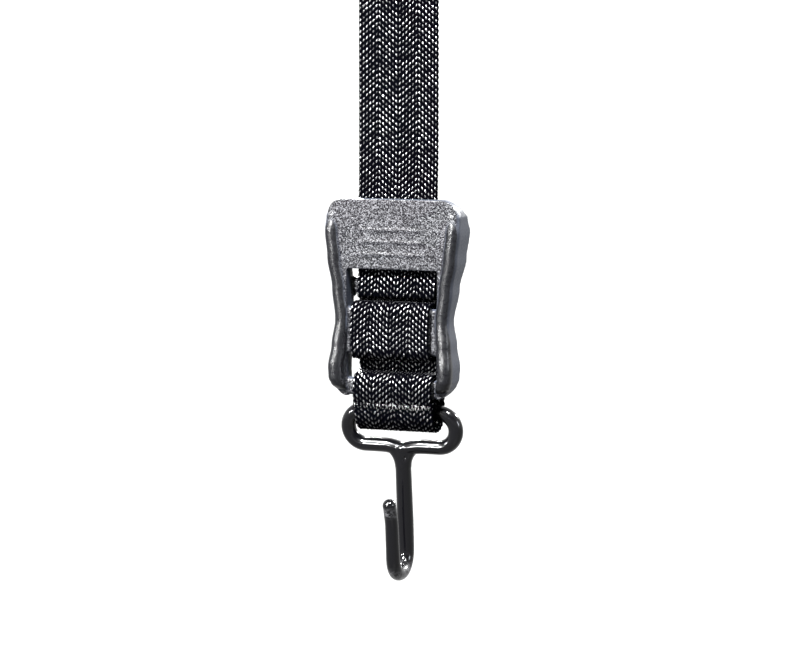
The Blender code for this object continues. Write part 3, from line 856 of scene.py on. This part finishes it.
def webbing_material():
    """Black nylon: painted shade in the gaps and painted light on the float tops, glossy floats that differ a
    little, and fine filaments along them.
    """
    n = Nodes("black_webbing")
    raised, number = n.attribute("raised"), n.attribute("number")
    woven = n.attribute("woven", "Vector")
    stretch = n.node("ShaderNodeMapping", {"Vector": woven, "Scale": (11.0, 1.6, 1.0)}).outputs["Vector"]
    filaments = n.noise(1.0, 3.0, stretch, 0.6)
    # Painted light and shade: the colour is lighter on top of the floats and darker in the gaps between them,
    # and it also differs a little from float to float.
    painted_light_and_float_tone = n.math("MULTIPLY", n.remap(raised, 0.45, 0.95, 0.0, 1.0), n.remap(number, 0.0, 1.0, 0.3, 1.0))
    shaded_gap, lit_float = (0.0001, 0.0001, 0.0002), (0.0010, 0.0010, 0.0013)
    color = n.mix(painted_light_and_float_tone, shaded_gap, lit_float)
    rough = n.math("ADD", n.remap(number, 0.0, 1.0, 0.42, 0.32), n.remap(filaments, 0.3, 0.7, -0.04, 0.08))
    gloss = n.math("MULTIPLY", n.remap(raised, 0.55, 0.85, 0.0, 0.9), n.remap(number, 0.0, 1.0, 0.16, 0.95))
    n.set(Base_Color=color, Roughness=rough, Specular_IOR_Level=gloss, Normal=n.bump(filaments, 0.00005, 0.5))
    return n.material


def slider_material():
    """Grey moulded plastic: sparkly grain on the plate, darker smooth rails, and sides in a lighter bluish
    colour that is painted light from the side.
    """
    n = Nodes("slider_plastic")
    plate, rail = n.attribute("plate"), n.attribute("rail")
    fine, coarse = n.noise(3400.0, 1.0), n.noise(1900.0, 2.0)
    speck = n.remap(n.math("ADD", fine, n.math("MULTIPLY", coarse, 0.4)), 0.62, 0.9, 0.0, 1.0)
    grained = n.mix(speck, (0.0003, 0.0003, 0.0005), (0.0092, 0.0094, 0.0107))
    # Painted light: the walls' side faces are coloured lighter and bluer than the rails of the same walls,
    # for the bluish side light falling on them.
    side = n.mix(n.noise(1600.0, 2.0), (0.0055, 0.0063, 0.0085), (0.0078, 0.0088, 0.0115))
    dark = n.mix(speck, (0.0004, 0.0004, 0.0006), (0.0010, 0.0011, 0.0013))
    color = n.mix(plate, n.mix(rail, side, dark), grained)
    rough = n.math("ADD", n.remap(rail, 0.0, 1.0, 0.42, 0.3), n.remap(coarse, 0.3, 0.7, -0.05, 0.1))
    height = n.math("MULTIPLY", fine, n.remap(plate, 0.0, 1.0, 0.15, 1.0))
    grain_gloss = n.math("MULTIPLY", plate, n.remap(speck, 0.0, 1.0, -0.018, 0.12))
    gloss = n.math("ADD", grain_gloss, n.remap(rail, 0.0, 1.0, 0.05, 0.11))
    n.set(Base_Color=color, Roughness=rough, Specular_IOR_Level=gloss, Normal=n.bump(height, 0.0001, 1.0))
    return n.material


def vinyl_material():
    """Glossy black dipped vinyl with dull scuffs at the tip, and a painted grey reflection of the floor, dull
    as well, under the bend.
    """
    n = Nodes("dipped_vinyl")
    scuff_and_floor_reflection = n.attribute("scuff_and_floor_reflection")
    scuff_and_reflection_patches = n.noise(1100.0, 4.0, None, 0.65)
    scuff_and_reflection = n.math("MULTIPLY", scuff_and_floor_reflection, n.remap(scuff_and_reflection_patches, 0.44, 0.6, 0.0, 1.0))
    # The grey at the tip is scuffing. The grey under the bend is a painted reflection of the floor.
    glossy_black, scuff_and_reflection_grey = (0.0003, 0.0003, 0.0004), (0.014, 0.014, 0.015)
    color = n.mix(scuff_and_reflection, glossy_black, scuff_and_reflection_grey)
    orange_peel = n.noise(260.0, 2.0)
    n.set(Base_Color=color, Roughness=n.remap(scuff_and_reflection, 0.0, 1.0, 0.15, 0.42))
    n.set(Specular_IOR_Level=0.14, Normal=n.bump(orange_peel, 0.0003, 0.25))
    return n.material


def thread_material():
    """Black sewing thread with the twist of its strands, with painted shade in the twist's grooves and
    painted light on its crests.
    """
    n = Nodes("thread")
    twist = n.node("ShaderNodeTexWave", {"Scale": 900.0, "Distortion": 1.0, "Vector": n.position()})
    # Painted light and shade: the colour is lighter on the twist's crests and darker in its grooves.
    color = n.mix(twist.outputs["Fac"], (0.004, 0.004, 0.005), (0.04, 0.04, 0.045))
    n.set(Base_Color=color, Roughness=0.5, Normal=n.bump(twist.outputs["Fac"], 0.0001, 0.8))
    return n.material


def steel_material():
    """Drawn wire, streaked in tone and roughness."""
    n = Nodes("drawn_steel")
    drawn = n.noise(1800.0, 3.0)
    color = n.mix(drawn, (0.42, 0.42, 0.43), (0.62, 0.62, 0.63))
    n.set(Base_Color=color, Metallic=1.0, Roughness=n.remap(drawn, 0.3, 0.7, 0.25, 0.45))
    return n.material


def floor_material():
    """A plain pale floor with a faint change of tone."""
    n = Nodes("pale_floor")
    n.set(Base_Color=n.mix(n.noise(0.8, 2.0), (0.93, 0.93, 0.93), (0.96, 0.96, 0.96)), Roughness=0.9)
    return n.material


# ---- Stage, light and camera, in metres ----

TARGET = Vector((0, 0, -0.5503))
CAMERA_DISTANCE = 0.65
VIEW_HEIGHT = 0.149
SENSOR_WIDTH = 36  # across the image's long side
IMAGE_WIDTH, IMAGE_HEIGHT = 800, 650
CAMERA_AZIMUTH, CAMERA_ELEVATION = 20, 6.5


def direction(azimuth, elevation):
    """The way out from the strap at a compass place in degrees: azimuth 0 is the front and 90 the +X side."""
    a, e = math.radians(azimuth), math.radians(elevation)
    return Vector((math.sin(a) * math.cos(e), -math.cos(a) * math.cos(e), math.sin(e)))


def make_camera():
    back = direction(CAMERA_AZIMUTH, CAMERA_ELEVATION)
    data = bpy.data.cameras.new("camera")
    data.sensor_width = SENSOR_WIDTH
    data.lens = SENSOR_WIDTH * IMAGE_HEIGHT / IMAGE_WIDTH * CAMERA_DISTANCE / VIEW_HEIGHT
    data.clip_start = 0.01
    camera = bpy.data.objects.new("camera", data)
    camera.location = TARGET + back * CAMERA_DISTANCE
    camera.rotation_euler = back.to_track_quat("Z", "Y").to_euler()
    bpy.context.scene.collection.objects.link(camera)
    bpy.context.scene.camera = camera


LIGHT_SPREAD = math.radians(36)
LIGHT_DISTANCE = 2.6  # the beams hold the whole strap
LIGHT_TARGET = Vector((0, 0, -0.42))
FLOOR_DROP = 6.0  # the strap hangs, and the beams meet the floor far from it
FLOOR_HALF_SIZE = 500
BRIGHT_SKY, DIM_SKY = 1.9, 0.15  # dim above the front, bright at the horizon and behind the object
SKY_FADE = -0.35  # how far above the front the sky is fully dim, as Y times Z of the way there
WHITE, BLUISH = (1, 1, 1), (0.9, 0.94, 1.0)
# Name, azimuth, elevation, width, power in watts and colour of each round light
LIGHTS = [
    ("key", -20, 40, 0.29, 92.0, WHITE),
    ("second_key", 40, 56, 0.23, 25.0, WHITE),
    ("side", 82, 12, 0.8, 3.8, BLUISH),
    ("low", -22, 5, 0.26, 10.0, WHITE),
    ("rail", -48, 9, 0.17, 7.5, WHITE),
    ("back_left", 215, 40, 0.29, 75.0, WHITE),
    ("back_right", 150, 25, 0.29, 20.0, WHITE),
]


def make_light(name, azimuth, elevation, width, power, color):
    way = direction(azimuth, elevation)
    data = bpy.data.lights.new(name, "AREA")
    data.shape = "DISK"
    data.size = width
    data.energy = power
    data.color = color
    data.spread = LIGHT_SPREAD
    light = bpy.data.objects.new(name, data)
    light.location = LIGHT_TARGET + way * LIGHT_DISTANCE
    light.rotation_euler = way.to_track_quat("Z", "Y").to_euler()
    bpy.context.scene.collection.objects.link(light)


def make_floor():
    shape = bmesh.new()
    bmesh.ops.create_grid(shape, x_segments=1, y_segments=1, size=FLOOR_HALF_SIZE)
    mesh = bpy.data.meshes.new("floor")
    shape.to_mesh(mesh)
    shape.free()
    mesh.materials.append(floor_material())
    floor = bpy.data.objects.new("floor", mesh)
    floor.location = (0, 0, cad_box[0][2] - FLOOR_DROP)
    bpy.context.scene.collection.objects.link(floor)


def make_sky():
    """A white sky whose strength goes by Y times Z of the way there, so it is dim only above the front."""
    world = bpy.data.worlds.new("studio")
    bpy.context.scene.world = world
    world.use_nodes = True
    tree = world.node_tree
    background = tree.nodes["Background"]
    background.inputs["Color"].default_value = (1, 1, 1, 1)
    way = tree.nodes.new("ShaderNodeSeparateXYZ")
    tree.links.new(tree.nodes.new("ShaderNodeTexCoord").outputs["Generated"], way.inputs["Vector"])
    above_front = tree.nodes.new("ShaderNodeMath")
    above_front.operation = "MULTIPLY"
    tree.links.new(way.outputs["Y"], above_front.inputs[0])
    tree.links.new(way.outputs["Z"], above_front.inputs[1])
    shade = tree.nodes.new("ShaderNodeMapRange")
    shade.interpolation_type = "SMOOTHSTEP"
    limits = {"From Min": SKY_FADE, "From Max": 0.0, "To Min": DIM_SKY, "To Max": BRIGHT_SKY}
    for key, value in limits.items():
        shade.inputs[key].default_value = value
    tree.links.new(above_front.outputs[0], shade.inputs["Value"])
    tree.links.new(shade.outputs["Result"], background.inputs["Strength"])


def make_stage():
    make_floor()
    make_sky()
    for light in LIGHTS:
        make_light(*light)
    bpy.context.scene.view_settings.view_transform = "Standard"


def finish_carried_nodes():
    """Gives the CAD nodes that stay in view their materials."""
    thread = thread_material()
    for name in ("bar_tack_hook", "bar_tack_slider"):
        node = frame["nodes"][name]
        node.data.materials.clear()
        node.data.materials.append(thread)


make_camera()
make_stage()
make_webbing()
make_slider()
make_hook()
finish_carried_nodes()
